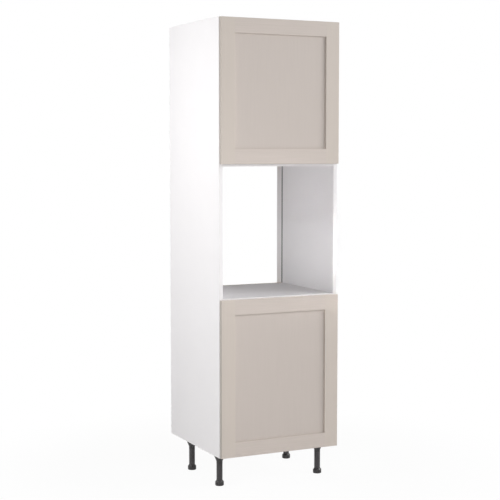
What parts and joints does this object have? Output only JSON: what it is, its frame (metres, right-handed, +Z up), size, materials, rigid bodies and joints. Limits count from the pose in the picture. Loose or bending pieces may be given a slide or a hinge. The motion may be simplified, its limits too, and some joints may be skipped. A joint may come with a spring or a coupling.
{
  "type": "tall oven housing unit",
  "caption": "Tall floor-standing kitchen housing for a built-in oven: an open bay between cupboards with hinged frame-and-panel doors, on adjustable legs.",
  "frame": {"origin": "on the floor, at the centre of the closed unit's footprint", "axes": "+Z up, -Y out of the doors, +X to the right when facing the doors"},
  "size_m": [0.6, 0.59, 2.12],
  "materials": {
    "white_board": "white melamine-faced chipboard, satin",
    "back_board": "white-faced fibreboard, satin",
    "stone_door": "warm stone painted fibreboard, satin",
    "beech": "plain beech",
    "leg_plastic": "moulded charcoal plastic",
    "bumper": "clear soft plastic",
    "nickel_steel": "nickel-plated steel",
    "zinc_steel": "zinc-plated steel",
    "zinc_diecast": "die-cast zinc",
    "zinc_screw": "zinc-plated screw steel"
  },
  "bodies": {
    "carcass": {"left_side": "white_board", "right_side": "white_board", "base_panel": "white_board", "oven_shelf": "white_board", "bay_top_shelf": "white_board", "top_panel": "white_board", "lower_back_panel": "back_board", "upper_back_panel": "back_board", "lower_loose_shelf": "white_board", "lower_shelf_pins": "zinc_steel", "upper_loose_shelf": "white_board", "upper_shelf_pins": "zinc_steel", "cam_locks": "zinc_diecast", "cam_bolts": "zinc_steel", "dowels": "beech", "wall_brackets": "zinc_steel", "wall_bracket_screws": "zinc_screw", "front_left_socket": "leg_plastic", "front_right_socket": "leg_plastic", "rear_left_socket": "leg_plastic", "rear_right_socket": "leg_plastic", "front_left_column": "leg_plastic", "front_right_column": "leg_plastic", "rear_left_column": "leg_plastic", "rear_right_column": "leg_plastic", "socket_screws": "zinc_screw", "lower_hinge_arms": "nickel_steel", "lower_hinge_plates": "nickel_steel", "lower_plate_screws": "zinc_screw", "lower_arm_screws": "zinc_screw", "upper_hinge_arms": "nickel_steel", "upper_hinge_plates": "nickel_steel", "upper_plate_screws": "zinc_screw", "upper_arm_screws": "zinc_screw"},
    "lower_door": {"lower_door_left_stile": "stone_door", "lower_door_right_stile": "stone_door", "lower_door_top_rail": "stone_door", "lower_door_bottom_rail": "stone_door", "lower_door_panel": "stone_door", "lower_door_bumpers": "bumper", "lower_hinge_cups": "nickel_steel", "lower_hinge_pins": "nickel_steel", "lower_cup_screws": "zinc_screw"},
    "upper_door": {"upper_door_left_stile": "stone_door", "upper_door_right_stile": "stone_door", "upper_door_top_rail": "stone_door", "upper_door_bottom_rail": "stone_door", "upper_door_panel": "stone_door", "upper_door_bumpers": "bumper", "upper_hinge_cups": "nickel_steel", "upper_hinge_pins": "nickel_steel", "upper_cup_screws": "zinc_screw"},
    "front_left_foot": {"front_left_foot": "leg_plastic"},
    "front_right_foot": {"front_right_foot": "leg_plastic"},
    "rear_left_foot": {"rear_left_foot": "leg_plastic"},
    "rear_right_foot": {"rear_right_foot": "leg_plastic"}
  },
  "joints": [
    {"name": "lower_door_hinge", "type": "hinge", "parent": "carcass", "child": "lower_door", "pos_m": [0.291, -0.286, 0.5095], "axis": [0, 0, 1], "range_deg": [0, 95]},
    {"name": "upper_door_hinge", "type": "hinge", "parent": "carcass", "child": "upper_door", "pos_m": [0.291, -0.286, 1.7955], "axis": [0, 0, 1], "range_deg": [0, 95]},
    {"name": "front_left_foot_screw", "type": "slide", "parent": "carcass", "child": "front_left_foot", "axis": [0, 0, -1], "range_m": [0, 0.025]},
    {"name": "front_right_foot_screw", "type": "slide", "parent": "carcass", "child": "front_right_foot", "axis": [0, 0, -1], "range_m": [0, 0.025]},
    {"name": "rear_left_foot_screw", "type": "slide", "parent": "carcass", "child": "rear_left_foot", "axis": [0, 0, -1], "range_m": [0, 0.025]},
    {"name": "rear_right_foot_screw", "type": "slide", "parent": "carcass", "child": "rear_right_foot", "axis": [0, 0, -1], "range_m": [0, 0.025]}
  ]
}
